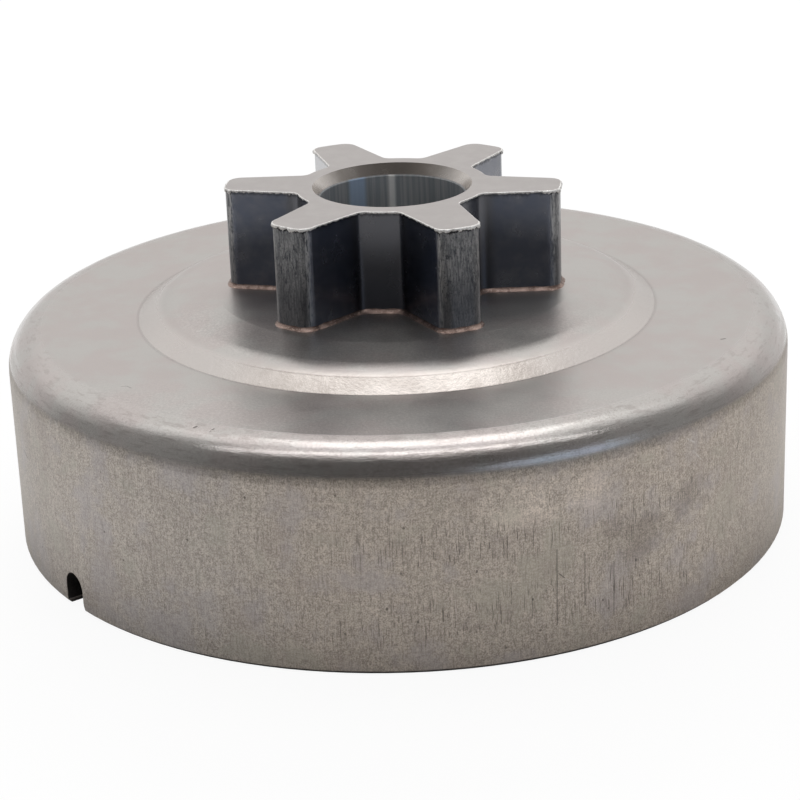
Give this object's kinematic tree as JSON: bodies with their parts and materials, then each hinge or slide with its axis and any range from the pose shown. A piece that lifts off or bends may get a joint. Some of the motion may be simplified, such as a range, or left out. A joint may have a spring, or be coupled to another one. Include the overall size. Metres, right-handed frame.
{
  "type": "chainsaw clutch drum with spur sprocket",
  "caption": "Drawn steel clutch drum for a chainsaw, with a spur drive sprocket brazed on its raised centre, a bearing bore through the middle and a notch in the rim.",
  "frame": {"origin": "middle of the rim plane, where the open end of the drum stands", "axes": "+Z along the axis from the open rim to the sprocket; +X through the middle of a sprocket tooth"},
  "size_m": [0.07, 0.07, 0.0305],
  "materials": {
    "drawn_steel": "satin",
    "hardened_steel": "satin",
    "copper_braze": "satin"
  },
  "bodies": {
    "root": {"clutch_drum": "drawn_steel", "spur_sprocket": "hardened_steel", "braze_joint": "copper_braze"}
  },
  "joints": []
}
